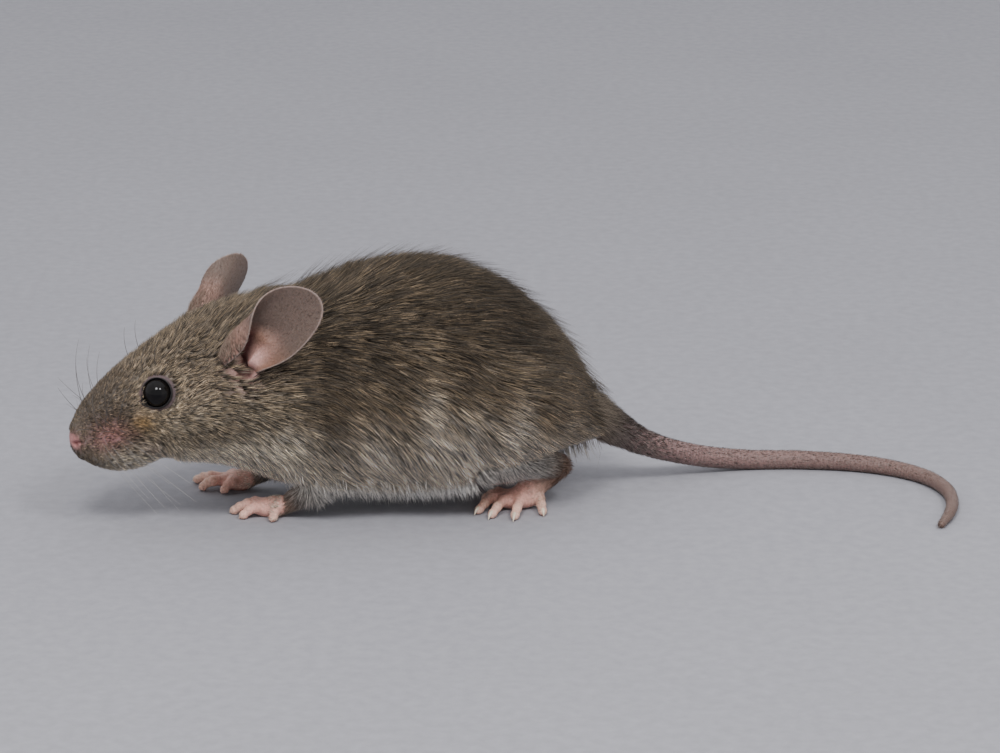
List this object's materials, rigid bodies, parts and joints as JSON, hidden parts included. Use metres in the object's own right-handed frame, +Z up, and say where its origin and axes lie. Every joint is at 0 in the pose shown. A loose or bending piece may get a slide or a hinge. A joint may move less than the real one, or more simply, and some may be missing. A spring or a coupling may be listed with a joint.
{
  "type": "house mouse figure",
  "caption": "Life-size still figure of a house mouse crouching on all fours, head turned slightly, tail laid along the floor.",
  "frame": {"origin": "on the floor, under the middle of the whole figure's bounding box", "axes": "-X the way the mouse faces, -Y its left side, +Z up; the long dimension, nose to tail, lies along X"},
  "size_m": [0.134, 0.0378, 0.0392],
  "materials": {
    "fur": "short agouti fur, grey-brown with buff ticks",
    "ear_skin": "thin bare skin with fine down",
    "eye": "wet and glossy",
    "paw_skin": "soft pink skin with sparse pale hair",
    "tail_skin": "fine rings of scales with short hairs"
  },
  "bodies": {
    "root": {"head": "fur", "neck": "fur", "chest": "fur", "belly": "fur", "rump": "fur", "ear_left": "ear_skin", "ear_right": "ear_skin", "eye_left": "eye", "eye_right": "eye", "foreleg_left": "fur", "foreleg_right": "fur", "hand_left": "paw_skin", "hand_right": "paw_skin", "hindleg_left": "fur", "hindleg_right": "fur", "foot_left": "paw_skin", "foot_right": "paw_skin", "tail_1": "tail_skin", "tail_2": "tail_skin", "tail_3": "tail_skin", "tail_4": "tail_skin"}
  },
  "joints": []
}
